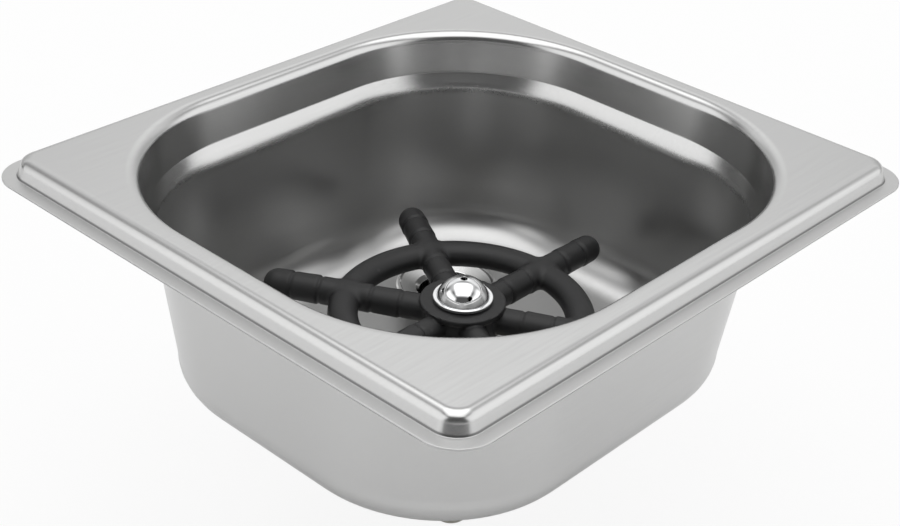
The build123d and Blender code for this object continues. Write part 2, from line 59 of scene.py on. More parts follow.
# Pan: half sides, then stations of its section as
# (inset from the lip's edge, level, plan corner radius, bend radius)
PAN_HALF = (81.0, 88.0)
PAN_SECTION = (
    (35.6, -58.05, 29.4, 0.0),
    (21.7, -58.05, 43.3, 11.9),
    (17.3, -10.55, 41.9, 7.0),
    (14.9, -6.15, 46.9, 1.6),
    (12.65, 5.6, 49.1, 3.4),
    (5.25, 5.6, 5.2, 3.2),
    (3.5, 0.7, 6.95, 0.3),
    (0.0, 0.7, 10.0, 0.25),
    (0.0, 0.0, 10.0, 0.25),
    (3.95, 0.0, 6.5, 0.2),
    (5.95, 4.9, 4.5, 2.5),
    (12.08, 4.9, 49.67, 2.7),
    (14.2, -6.15, 47.6, 1.6),
    (16.6, -10.55, 42.6, 7.7),
    (21.0, -58.75, 44.0, 12.6),
    (34.9, -58.75, 30.1, 0.0),
)
CORNER_STEPS = 36
CORNER_SUPPORT = 1.2
BEND_SUPPORT = 0.35
BEND_SUPPORT_SHARE = 0.2
FLOOR_TOP = -58.05
FLOOR_UNDER = -58.75
PAN_HOLE = 10.7775

# Zones of the pan's finish: where a mask is nought, and where it is one
LIP_SIDE = (72.0, 74.0)
LIP_END = (79.0, 81.0)
LIP_LEVEL = (1.4, 0.8)
# Painted shade: a dark line between these levels, in the crease at the foot of the rim above the lip
SHADE_LINE_LOW = (0.72, 0.8)
SHADE_LINE_HIGH = (1.45, 1.1)
# Painted shade: inward faces of the bowl below this level are painted darker, and are also duller
DULL_AND_SHADED_LEVEL = (-8.0, -15.0)
INSIDE = (-2.0, 2.0)
INSIDE_RISE = 30.0
LIP_DULLNESS = 0.2
DRAWN_DULLNESS = 0.1

# Places of the valve and the drain in plan, and their threads
VALVE = (3.2, 0.0)
DRAIN = (-27.5, 27.6)
THREAD = 10.4775
THREAD_CORE = 9.6
THREAD_PITCH = 1.814
THREAD_DEPTH = 0.9
DRAIN_THREAD = (-72.0, -59.4)
HOUSING_THREAD = (-86.6, -60.0)

# Turned outlines as (radius, level, bend radius)
DRAIN_OUTLINE = (
    (8.0, -94.75, 0.0), (9.5, -94.75, 0.15), (10.0, -94.25, 0.15), (10.0, -72.75, 0.0),
    (THREAD_CORE, -72.5, 0.0), (THREAD_CORE, -58.9, 0.0), (THREAD, -58.7, 0.0), (THREAD, -57.05, 0.0),
    (15.0, -57.05, 0.12), (15.0, -56.15, 0.25), (14.45, -55.55, 0.2), (13.8, -55.55, 0.25),
    (13.35, -56.0, 0.3), (9.2, -57.05, 0.5), (8.0, -58.25, 0.35),
)
HOUSING_OUTLINE = (
    (6.0, -53.0, 0.0), (9.0, -53.0, 0.25), (9.0, -54.35, 0.15), (15.5, -54.35, 1.2), (15.5, -56.55, 0.15),
    (THREAD, -56.55, 0.0), (THREAD, -58.9, 0.0), (THREAD_CORE, -59.1, 0.0), (THREAD_CORE, -87.4, 0.0),
    (THREAD_CORE - 0.5, -88.0, 0.0), (8.6, -88.0, 0.0), (8.6, -76.4, 0.0), (7.8, -76.4, 0.0),
    (7.8, -61.9, 0.0), (4.3, -61.9, 0.0), (4.3, -60.4, 0.0), (6.0, -60.4, 0.0),
)
TUBE_OUTLINE = (
    (7.2, -81.4, 0.0), (8.55, -81.4, 0.0), (8.55, -95.0, 0.0), (5.6, -95.0, 0.0), (5.6, -96.2, 0.25),
    (5.0, -96.4, 0.2), (5.0, -108.25, 0.2), (4.5, -108.75, 0.15), (3.5, -108.75, 0.15),
    (3.5, -93.6, 0.0), (7.2, -93.6, 0.0),
)

# Wheel, measured from its own axle level
AXLE_LEVEL = -40.25
ARM_COUNT = 6
ARM_TURN = math.radians(29.2)
ARM_REACH = 55.8
ARM_RADIUS = 3.72
ARM_END_RADIUS = 3.88
ARM_JOINTS = (16.8, 25.0, 39.7, 47.6)
JOINT_GROOVE = 0.3
JOINT_GROOVE_WIDTH = 0.45
JOINT_FLARE = 0.24
JOINT_FLARE_LENGTH = 4.0
RING_RADIUS = 32.0
RING_HALF_WIDTH = 4.1
RING_HALF_HEIGHT = 3.5
HUB_RADIUS = 10.2
HUB_LOW = -4.15
HUB_EDGE = 0.5
COLLAR_RADIUS = 11.6
COLLAR_LOW = 2.95
COLLAR_TOP = 4.85
COLLAR_EDGE = 0.45
RING_HOLLOW = 1.3
HUB_HOLLOW = 0.9
COLLAR_HOLLOW = 0.35
WHEEL_BORE = 6.65
WHEEL_GRID = 0.38
SETTLE_ROUNDS = 6
SLOPE_STEP = 0.02

# Nozzle: levels and radii, then its jets
FLANGE_LOW = -35.1
DOME_FOOT = -34.2
DOME_CENTRE = -36.306
DOME_RADIUS = 7.406
DOME_FOOT_RADIUS = 7.1
DOME_GROOVE = 0.22
CAP_WALL = 1.0
CAP_FLANGE = 8.1
NOZZLE_SKIRT = 6.6
NOZZLE_LOW = -44.5
STEM_TOP = -39.9
STEM_HOLE = 4.05
CENTRE_JET = 0.95
SIDE_JET = 0.6
SIDE_JET_COUNT = 4
SIDE_JET_TILT = 52.0
SIDE_JET_TURN = -30.0
JET_LEAD = 0.26
JET_LEAD_DEPTH = 0.12

# Nuts: across flats, top and bottom levels; lead-in of a bore and the ease of their edges
NUT_FLATS = 27.0
BODY_NUT = (-61.05, -69.05)
DRAIN_NUT = (-60.25, -68.25)
NUT_CHAMFER = 1.2
NUT_CHAMFER_FALL = 0.6
THREAD_GAP = 0.05
BORE_LEAD = 0.7
BORE_LEAD_DEPTH = 0.5
EDGE_EASE = 0.12
INLET_FLATS = 22.0
INLET_HEXAGON = (-88.05, -95.05)
INLET_HEXAGON_BORE = 8.0
INLET_CHAMFER = 0.9

# Return spring
SPRING_FOOT = -76.4
SPRING_LENGTH = 12.4
SPRING_RADIUS = 6.2
SPRING_WIRE = 0.5
SPRING_TURNS = 5
SPRING_END_RISE = 1.5
SPRING_STEPS = 48
SPRING_SIDES = 12

# Camera, fitted to the rim in the photograph
CAMERA_PLACE = (248.891, -282.768, 199.693)
CAMERA_AZIMUTH = math.radians(41.59)
CAMERA_ELEVATION = math.radians(30.891)
CAMERA_ROLL = math.radians(3.087)
CAMERA_LENS = 66.256
CAMERA_SENSOR = 36.0

# Studio: the room's own level, then soft boxes as (azimuth from the camera, elevation,
# half width, half height, softness, strength), their sizes as shares of their distance
ROOM_LEVEL = 0.1
SOFTBOXES = (
    (0.0, 88.0, 0.6, 0.6, 0.2, 1.7),
    (180.0, 22.0, 2.4, 0.5, 0.15, 0.5),
    (180.0, 25.0, 0.3, 0.45, 0.28, 0.28),
    (180.0, 42.0, 1.2, 0.2, 0.15, 0.28),
    (-70.0, 20.0, 0.52, 0.45, 0.15, 1.2),
    (80.0, 20.0, 0.6, 0.45, 0.2, 1.2),
    (-118.0, 53.0, 0.36, 0.26, 0.22, 0.5),
    (118.0, 53.0, 0.36, 0.26, 0.22, 0.45),
)
FLOOR_HALF = 3000.0
FLOOR_LEVEL = -108.8
FLOOR_GLOW_SHARE = 0.88


# Meshes


def new_piece(name, mesh):
    """Object with this mesh at the origin."""
    piece = bpy.data.objects.new(name, mesh)
    bpy.context.scene.collection.objects.link(piece)
    return piece


def outwards(mesh):
    """Merge a closed mesh's doubles and turn its faces outwards."""
    shape = bmesh.new()
    shape.from_mesh(mesh)
    bmesh.ops.remove_doubles(shape, verts=shape.verts, dist=1e-7)
    bmesh.ops.recalc_face_normals(shape, faces=shape.faces)
    shape.to_mesh(mesh)
    shape.free()


def mesh_from(name, points, faces):
    """Mesh from points in millimetres, its faces turned outwards."""
    mesh = bpy.data.meshes.new(name)
    mesh.from_pydata([tuple(coordinate * METRE for coordinate in point) for point in points], [], faces)
    outwards(mesh)
    return mesh


def shade(mesh, degrees=32.0):
    """Smooth shading with edges over this angle kept sharp."""
    mesh.shade_smooth()
    mesh.set_sharp_from_angle(angle=math.radians(degrees))


def settled(piece):
    """Replace a piece's mesh by what its modifiers make, and remove them."""
    bpy.context.view_layer.update()
    graph = bpy.context.evaluated_depsgraph_get()
    mesh = bpy.data.meshes.new_from_object(piece.evaluated_get(graph))
    piece.modifiers.clear()
    old = piece.data
    piece.data = mesh
    mesh.name = piece.name
    if old.users == 0:
        bpy.data.meshes.remove(old)


def combine(piece, operation, tool_mesh):
    """Cut a closed mesh out of a piece by DIFFERENCE, or keep what lies in it by INTERSECT."""
    tool = new_piece("tool", tool_mesh)
    step = piece.modifiers.new("combine", "BOOLEAN")
    step.operation = operation
    step.solver = "EXACT"
    step.object = tool
    settled(piece)
    bpy.data.objects.remove(tool)


def join_mesh(piece, mesh):
    """Add a closed mesh to a piece's own."""
    whole = bmesh.new()
    whole.from_mesh(piece.data)
    whole.from_mesh(mesh)
    bmesh.ops.recalc_face_normals(whole, faces=whole.faces)
    whole.to_mesh(piece.data)
    whole.free()
    bpy.data.meshes.remove(mesh)


def bend_at(before, corner, after, bend):
    """Round bend at a polyline's corner: its reach along both runs, and its points."""
    one = Vector((before[0] - corner[0], before[1] - corner[1])).normalized()
    other = Vector((after[0] - corner[0], after[1] - corner[1])).normalized()
    inside = one.angle(other)
    reach = bend / math.tan(inside / 2)
    middle = Vector(corner[:2]) + (one + other).normalized() * (bend / math.sin(inside / 2))
    start = Vector(corner[:2]) + one * reach - middle
    end = Vector(corner[:2]) + other * reach - middle
    sweep = math.atan2(start.x * end.y - start.y * end.x, start.dot(end))
    steps = max(3, round(abs(math.degrees(sweep)) / BEND_STEP))
    return reach, [middle + Matrix.Rotation(sweep * step / steps, 2) @ start for step in range(steps + 1)]


def bent_line(stations):
    """Points of a polyline whose corners carry round bends: (x, y, bend)."""
    line = [stations[0][:2]]
    for before, corner, after in zip(stations, stations[1:], stations[2:]):
        if corner[2] == 0:
            line.append(corner[:2])
        else:
            line += [tuple(place) for place in bend_at(before, corner, after, corner[2])[1]]
    line.append(stations[-1][:2])
    return line


def turned_mesh(name, place, outline, steps=TURNED_STEPS):
    """Closed outline of (radius, level, bend) turned round an upright axis."""
    line = bent_line([outline[-1], *outline, outline[0]])[1:-1]
    points = []
    faces = []
    count = len(line)
    for step in range(steps):
        angle = 2 * math.pi * step / steps
        for radius, level in line:
            points.append((place[0] + radius * math.cos(angle), place[1] + radius * math.sin(angle), level))
    for step in range(steps):
        this, following = step * count, (step + 1) % steps * count
        for index in range(count):
            after = (index + 1) % count
            faces.append((this + index, following + index, following + after, this + after))
    return mesh_from(name, points, faces)


# Node trees


def add_node(tree, kind, values=None, **settings):
    """Add a node, set its properties, and link or set its inputs by name or number."""
    node = tree.nodes.new(kind)
    for key, value in settings.items():
        setattr(node, key, value)
    for key, value in (values or {}).items():
        if isinstance(value, bpy.types.NodeSocket):
            tree.links.new(value, node.inputs[key])
        else:
            node.inputs[key].default_value = value
    return node


def made(tree, kind, values=None, **settings):
    """First result of a new node."""
    return add_node(tree, kind, values, **settings).outputs[0]


def calculate(tree, operation, *values):
    """Result of a Math node."""
    return made(tree, "ShaderNodeMath", dict(enumerate(values)), operation=operation)


def of_vectors(tree, operation, *values, output="Vector"):
    """Result of a Vector Math node."""
    node = add_node(tree, "ShaderNodeVectorMath", dict(enumerate(values)), operation=operation)
    return node.outputs[output]


def stretched(tree, value, low, high):
    """Nought to one as a value goes from one number to another."""
    return made(tree, "ShaderNodeMapRange", {"Value": value, "From Min": low, "From Max": high})


def noise(tree, place, scale, detail, roughness=0.5):
    """Value of a Noise Texture."""
    values = {"Vector": place, "Scale": scale, "Detail": detail, "Roughness": roughness}
    return add_node(tree, "ShaderNodeTexNoise", values).outputs["Fac"]


SOCKETS = {int: "NodeSocketInt", float: "NodeSocketFloat"}


def new_group(name, kind, inputs, outputs):
    """Node group and its end nodes. An input has its first number, or its socket type where it has none."""
    tree = bpy.data.node_groups.new(name, kind)
    for label, value in inputs.items():
        numeric = SOCKETS.get(type(value))
        socket = tree.interface.new_socket(label, in_out="INPUT", socket_type=numeric or value)
        if numeric:
            socket.default_value = value
    for label, socket_type in outputs.items():
        tree.interface.new_socket(label, in_out="OUTPUT", socket_type=socket_type)
    return tree, tree.nodes.new("NodeGroupInput").outputs, tree.nodes.new("NodeGroupOutput").inputs


def grain_group():
    """Long fine scratches along one way, as rolling and brushing leave on steel."""
    tree, size, out = new_group(
        "drawn_grain", "ShaderNodeTree", {"Vector": "NodeSocketVector", "Across": 2600.0, "Along": 70.0},
        {"Mask": "NodeSocketFloat"},
    )
    stretch = made(tree, "ShaderNodeCombineXYZ", {0: size["Across"], 1: size["Along"], 2: size["Across"]})
    place = of_vectors(tree, "MULTIPLY", size["Vector"], stretch)
    tree.links.new(stretched(tree, noise(tree, place, 1.0, 3.0, 0.6), 0.35, 0.68), out[0])
    return tree


def speck_group():
    """Scattered small marks: pits in steel, dust on plastic."""
    tree, size, out = new_group(
        "fine_specks", "ShaderNodeTree",
        {"Vector": "NodeSocketVector", "Scale": 900.0, "Size": 0.14, "Share": 0.5},
        {"Mask": "NodeSocketFloat"},
    )
    cells = add_node(tree, "ShaderNodeTexVoronoi", {"Vector": size["Vector"], "Scale": size["Scale"]}).outputs
    spot = stretched(tree, cells["Distance"], size["Size"], 0.0)
    chance = made(tree, "ShaderNodeSeparateColor", {0: cells["Color"]})
    kept = calculate(tree, "LESS_THAN", chance, size["Share"])
    tree.links.new(calculate(tree, "MULTIPLY", spot, kept), out[0])
    return tree


def cloud_group():
    """Broad soft unevenness, such as smears and mottled colour."""
    tree, size, out = new_group(
        "soft_clouds", "ShaderNodeTree", {"Vector": "NodeSocketVector", "Scale": 30.0, "Detail": 2.0},
        {"Value": "NodeSocketFloat"},
    )
    cloud = noise(tree, size["Vector"], size["Scale"], size["Detail"])
    tree.links.new(stretched(tree, cloud, 0.25, 0.75), out[0])
    return tree


def edge_group():
    """Worn edges, from how far a surface bends outwards."""
    tree, size, out = new_group(
        "worn_edges", "ShaderNodeTree",
        {"Vector": "NodeSocketVector", "Low": 0.53, "High": 0.6, "Breakup": 500.0},
        {"Mask": "NodeSocketFloat"},
    )
    bent = add_node(tree, "ShaderNodeNewGeometry").outputs["Pointiness"]
    edge = stretched(tree, bent, size["Low"], size["High"])
    broken = noise(tree, size["Vector"], size["Breakup"], 3.0)
    tree.links.new(calculate(tree, "MULTIPLY", edge, broken), out[0])
    return tree


GRAIN = grain_group()
SPECKS = speck_group()
CLOUDS = cloud_group()
EDGES = edge_group()


# Materials


class Finish:
    """A material under construction: its Principled BSDF and the helpers around it."""

    def __init__(self, name, **plain):
        self.material = bpy.data.materials.new(name)
        self.material.use_nodes = True
        self.tree = self.material.node_tree
        self.shader = self.tree.nodes["Principled BSDF"]
        for label, value in plain.items():
            self.shader.inputs[label].default_value = value
        self.place = add_node(self.tree, "ShaderNodeTexCoord").outputs["Object"]

    def effect(self, group, vector=None, **values):
        """Place a shared effect with this material's own values."""
        values["Vector"] = self.place if vector is None else vector
        return made(self.tree, "ShaderNodeGroup", values, node_tree=group)

    def calculate(self, operation, *values):
        """Result of a Math node in this material."""
        return calculate(self.tree, operation, *values)

    def spread(self, mask, low, high):
        """A mask stretched between two values."""
        return made(self.tree, "ShaderNodeMapRange", {"Value": mask, "To Min": low, "To Max": high})

    def spread_both(self, one, other):
        """Sum of two masks, each stretched between two values of its own."""
        return self.calculate("ADD", self.spread(*one), self.spread(*other))

    def tint(self, mask, one, other, most=1.0):
        """Colour between two by a mask, with at most this share of the second."""
        node = add_node(self.tree, "ShaderNodeMix", data_type="RGBA")
        self.tree.links.new(mask if most == 1.0 else self.spread(mask, 0.0, most), node.inputs["Factor"])
        for key, value in (("A", one), ("B", other)):
            socket = next(s for s in node.inputs if s.name == key and s.type == "RGBA")
            if isinstance(value, bpy.types.NodeSocket):
                self.tree.links.new(value, socket)
            else:
                socket.default_value = (*value, 1.0)
        return next(s for s in node.outputs if s.type == "RGBA")

    def bump(self, height, distance):
        """Normal from a height, the distance in millimetres."""
        return made(self.tree, "ShaderNodeBump", {"Height": height, "Distance": distance * METRE})

    def feed(self, **links):
        """Link results to the shader's sockets."""
        for label, value in links.items():
            self.tree.links.new(value, self.shader.inputs[label.replace("_", " ")])
        return self.material


def turned_place(finish, middle):
    """Coordinates that run round an upright axis, for the marks of turning."""
    grain_spread = 0.01
    shifted = of_vectors(finish.tree, "ADD", finish.place, tuple(-value * METRE for value in (*middle, 0.0)))
    across, along, level = add_node(finish.tree, "ShaderNodeSeparateXYZ", {0: shifted}).outputs
    squares = finish.calculate("ADD", finish.calculate("MULTIPLY", across, across),
                               finish.calculate("MULTIPLY", along, along))
    radius = finish.calculate("SQRT", squares)
    round_way = finish.calculate("MULTIPLY", finish.calculate("ARCTAN2", along, across), grain_spread)
    return made(finish.tree, "ShaderNodeCombineXYZ", {0: radius, 1: round_way, 2: level})


def pan_finish():
    """Satin drawn stainless steel: rolled grain, faint pits, duller in the bowl and on the lip; painted shade
    darkens the inside of the bowl and a line in the crease under the rim.
    """
    finish = Finish("pan_steel", Metallic=1.0)
    tree = finish.tree
    across, along, level = add_node(tree, "ShaderNodeSeparateXYZ", {0: finish.place}).outputs

    def zone(value, limits):
        """Nought to one between two lengths in millimetres."""
        return stretched(tree, value, limits[0] * METRE, limits[1] * METRE)

    side, end = (finish.calculate("ABSOLUTE", value) for value in (across, along))
    outer = finish.calculate("MAXIMUM", zone(side, LIP_SIDE), zone(end, LIP_END))
    inward = of_vectors(tree, "MULTIPLY_ADD", finish.place, (-1.0, -1.0, 0.0),
                        (0.0, 0.0, INSIDE_RISE * METRE))
    facing = add_node(tree, "ShaderNodeNewGeometry").outputs["Normal"]
    inside = of_vectors(tree, "DOT_PRODUCT", inward, facing, output="Value")
    dull_and_shaded_bowl = finish.calculate("MULTIPLY", zone(level, DULL_AND_SHADED_LEVEL), zone(inside, INSIDE))
    lip = finish.calculate("MULTIPLY", outer, zone(level, LIP_LEVEL))
    painted_crease_shade = finish.calculate("MULTIPLY", outer, zone(level, SHADE_LINE_HIGH))
    painted_crease_shade = finish.calculate("MULTIPLY", painted_crease_shade, zone(level, SHADE_LINE_LOW))
    smears = finish.effect(CLOUDS, Scale=95.0, Detail=4.0)
    grain = finish.effect(GRAIN, Across=1500.0, Along=60.0)
    specks = finish.effect(SPECKS, Scale=520.0, Size=0.16, Share=0.12)
    colour = finish.tint(grain, (0.6, 0.6, 0.597), (0.575, 0.575, 0.572), 0.5)
    colour = finish.tint(specks, colour, (0.42, 0.42, 0.42), 0.15)
    # painted shade: inward faces deep in the bowl darker
    colour = finish.tint(dull_and_shaded_bowl, colour, (0.47, 0.47, 0.467), 0.62)
    # painted shade: a dark line in the crease at the foot of the rim
    colour = finish.tint(painted_crease_shade, colour, (0.1, 0.1, 0.1), 0.75)
    rough = finish.spread_both((smears, 0.0, 0.03), (grain, 0.2, 0.23))
    rough = finish.calculate("MULTIPLY_ADD", dull_and_shaded_bowl, DRAWN_DULLNESS, rough)
    rough = finish.calculate("MULTIPLY_ADD", lip, LIP_DULLNESS, rough)
    return finish.feed(Base_Color=colour, Roughness=rough, Normal=finish.bump(grain, 0.0005))


def drain_finish():
    """Turned and polished stainless steel."""
    finish = Finish("drain_steel", Metallic=1.0)
    rings = finish.effect(GRAIN, vector=turned_place(finish, DRAIN), Across=3200.0, Along=90.0)
    smears = finish.effect(CLOUDS, Scale=160.0, Detail=3.0)
    colour = finish.tint(rings, (0.74, 0.74, 0.735), (0.68, 0.68, 0.676))
    rough = finish.spread_both((smears, 0.06, 0.12), (rings, 0.0, 0.08))
    return finish.feed(Base_Color=colour, Roughness=rough, Normal=finish.bump(rings, 0.001))


def chrome_finish():
    """Mirror plating with faint wipe marks."""
    finish = Finish("nozzle_chrome", Metallic=1.0)
    smears = finish.effect(CLOUDS, Scale=420.0, Detail=4.0)
    specks = finish.effect(SPECKS, Scale=1600.0, Size=0.2, Share=0.12)
    colour = finish.tint(smears, (0.86, 0.865, 0.87), (0.8, 0.805, 0.81))
    rough = finish.spread_both((smears, 0.02, 0.06), (specks, 0.0, 0.2))
    return finish.feed(Base_Color=colour, Roughness=rough)


def wheel_finish():
    """Matt black moulding with a fine pebbled surface, rubbed a little on its edges."""
    finish = Finish("wheel_black", Metallic=0.0, IOR=1.5)
    pebble = finish.effect(CLOUDS, Scale=2600.0, Detail=3.0)
    clouds = finish.effect(CLOUDS, Scale=120.0, Detail=4.0)
    worn = finish.effect(EDGES, Low=0.52, High=0.6, Breakup=700.0)
    dust = finish.effect(SPECKS, Scale=1100.0, Size=0.16, Share=0.12)
    colour = finish.tint(clouds, (0.008, 0.008, 0.0085), (0.014, 0.014, 0.0145))
    colour = finish.tint(worn, colour, (0.05, 0.05, 0.052), 0.5)
    colour = finish.tint(dust, colour, (0.12, 0.12, 0.12), 0.4)
    rough = finish.spread(clouds, 0.44, 0.56)
    return finish.feed(Base_Color=colour, Roughness=rough, Normal=finish.bump(pebble, 0.012))


def plated_finish():
    """Nickel plating on turned brass."""
    finish = Finish("plated_brass", Metallic=1.0)
    smears = finish.effect(CLOUDS, Scale=240.0, Detail=4.0)
    worn = finish.effect(EDGES, Low=0.54, High=0.64, Breakup=600.0)
    grain = finish.effect(GRAIN, Across=300.0, Along=3000.0)
    colour = finish.tint(smears, (0.64, 0.62, 0.57), (0.56, 0.545, 0.5))
    colour = finish.tint(worn, colour, (0.72, 0.6, 0.36), 0.7)
    rough = finish.spread_both((smears, 0.16, 0.26), (grain, 0.0, 0.05))
    return finish.feed(Base_Color=colour, Roughness=rough, Normal=finish.bump(grain, 0.002))


def metal_finish(name, bright, dull, rough_low, rough_high, across=240.0, along=2400.0):
    """Plain turned or drawn metal with its tool marks."""
    finish = Finish(name, Metallic=1.0)
    smears = finish.effect(CLOUDS, Scale=260.0, Detail=3.0)
    grain = finish.effect(GRAIN, Across=across, Along=along)
    colour = finish.tint(smears, bright, dull)
    rough = finish.spread_both((smears, rough_low, rough_high), (grain, 0.0, 0.06))
    return finish.feed(Base_Color=colour, Roughness=rough, Normal=finish.bump(grain, 0.002))


def soft_finish(name, base, other, rough, pebble_scale, pebble_height):
    """Rubber, fibre or plastic: a fine surface and uneven colour."""
    finish = Finish(name, Metallic=0.0)
    clouds = finish.effect(CLOUDS, Scale=300.0, Detail=5.0)
    pebble = finish.effect(CLOUDS, Scale=pebble_scale, Detail=3.0)
    dust = finish.effect(SPECKS, Scale=1500.0, Size=0.2, Share=0.2)
    colour = finish.tint(clouds, base, other)
    colour = finish.tint(dust, colour, tuple(0.5 * value + 0.1 for value in base), 0.3)
    return finish.feed(Base_Color=colour, Roughness=finish.spread(clouds, rough - 0.06, rough + 0.06),
                       Normal=finish.bump(pebble, pebble_height))


FINISHES = {
    "pan_steel": pan_finish(),
    "drain_steel": drain_finish(),
    "nozzle_chrome": chrome_finish(),
    "wheel_black": wheel_finish(),
    "plated_brass": plated_finish(),
    "raw_brass": metal_finish("raw_brass", (0.76, 0.56, 0.26), (0.66, 0.47, 0.2), 0.18, 0.3),
    "stem_steel": metal_finish("stem_steel", (0.64, 0.64, 0.635), (0.56, 0.56, 0.555), 0.18, 0.28),
    "spring_steel": metal_finish("spring_steel", (0.56, 0.56, 0.56), (0.46, 0.46, 0.46), 0.2, 0.32,
                                 3000.0, 3000.0),
    "seal_rubber": soft_finish("seal_rubber", (0.022, 0.022, 0.023), (0.035, 0.035, 0.036), 0.58,
                               1800.0, 0.01),
    "washer_fibre": soft_finish("washer_fibre", (0.34, 0.13, 0.075), (0.26, 0.095, 0.055), 0.75,
                                1400.0, 0.02),
    "bush_plastic": soft_finish("bush_plastic", (0.8, 0.79, 0.75), (0.74, 0.73, 0.69), 0.42, 2000.0, 0.006),
}


shown_elsewhere = set()


def dress(piece, slot, body, *nodes):
    """Give a finished piece its material, body and the nodes that it stands for."""
    piece.data.materials.clear()
    piece.data.materials.append(FINISHES[slot])
    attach(piece, body)
    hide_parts(*nodes)
    shown_elsewhere.update(nodes)


# Pan


def plan_loop(inset, level, corner):
    """One closed loop of the pan in plan, with short support runs beside its corners."""
    loop = []
    for quadrant, (side_x, side_y) in enumerate(((1, 1), (-1, 1), (-1, -1), (1, -1))):
        middle_x = side_x * (PAN_HALF[0] - inset - corner)
        middle_y = side_y * (PAN_HALF[1] - inset - corner)
        for step in range(-1, CORNER_STEPS + 2):
            held = min(max(step, 0), CORNER_STEPS)
            angle = math.pi / 2 * (quadrant + held / CORNER_STEPS)
            beyond = (step - held) * CORNER_SUPPORT
            loop.append((
                middle_x + corner * math.cos(angle) - beyond * math.sin(angle),
                middle_y + corner * math.sin(angle) + beyond * math.cos(angle),
                level,
            ))
    return loop


def pan_loops():
    """The pan's section as loops: every run has its ends and supports, every bend its arc."""

    def corner_on(run, share, from_start):
        """Plan corner radius at a place on a run: level runs stay concentric with their nearer end."""
        (inset_a, level_a, radius_a, _), (inset_b, level_b, radius_b, _) = run
        if level_a == level_b:
            inset = inset_a + (inset_b - inset_a) * share
            return radius_a + inset_a - inset if from_start else radius_b + inset_b - inset
        return radius_a + (radius_b - radius_a) * share

    def loop_on(run, share, from_start):
        """Loop at a place on a run."""
        inset, level = (a + (b - a) * share for a, b in zip(run[0][:2], run[1][:2]))
        return plan_loop(inset, level, corner_on(run, share, from_start))

    loops = [plan_loop(*PAN_SECTION[0][:3])]
    for before, corner, after in zip(PAN_SECTION, PAN_SECTION[1:], PAN_SECTION[2:]):
        run_in, run_out = (before, corner), (corner, after)
        length_in = math.dist(before[:2], corner[:2])
        length_out = math.dist(corner[:2], after[:2])
        reach, arc = bend_at(before, corner, after, corner[3])
        share_in = 1 - reach / length_in
        share_out = reach / length_out
        radius_in = corner_on(run_in, share_in, False)
        radius_out = corner_on(run_out, share_out, True)
        loops.append(loop_on(run_in, share_in - min(BEND_SUPPORT / length_in, BEND_SUPPORT_SHARE), False))
        for step, place in enumerate(arc):
            share = step / (len(arc) - 1)
            loops.append(plan_loop(place.x, place.y, radius_in + (radius_out - radius_in) * share))
        loops.append(loop_on(run_out, share_out + min(BEND_SUPPORT / length_out, BEND_SUPPORT_SHARE), True))
    loops.append(plan_loop(*PAN_SECTION[-1][:3]))
    return loops


def make_pan():
    """Drawn pan: one sheet from the bowl's floor over the rim to the lip and back underneath."""
    loops = pan_loops()
    count = len(loops[0])
    points = [point for loop in loops for point in loop]
    faces = []
    for row in range(len(loops) - 1):
        for column in range(count):
            after = (column + 1) % count
            faces.append((row * count + column, (row + 1) * count + column,
                          (row + 1) * count + after, row * count + after))
    faces.append(tuple(range(count)))
    last = (len(loops) - 1) * count
    faces.append(tuple(last + index for index in reversed(range(count))))
    pan = new_piece("drawn_pan", mesh_from("drawn_pan", points, faces))
    beyond = 5
    hole = [(0.0, FLOOR_TOP + beyond, 0.0), (PAN_HOLE, FLOOR_TOP + beyond, 0.0),
            (PAN_HOLE, FLOOR_UNDER - beyond, 0.0), (0.0, FLOOR_UNDER - beyond, 0.0)]
    for place in (VALVE, DRAIN):
        combine(pan, "DIFFERENCE", turned_mesh("hole", place, hole))
    shade(pan.data, 40.0)
    return pan


# Wheel


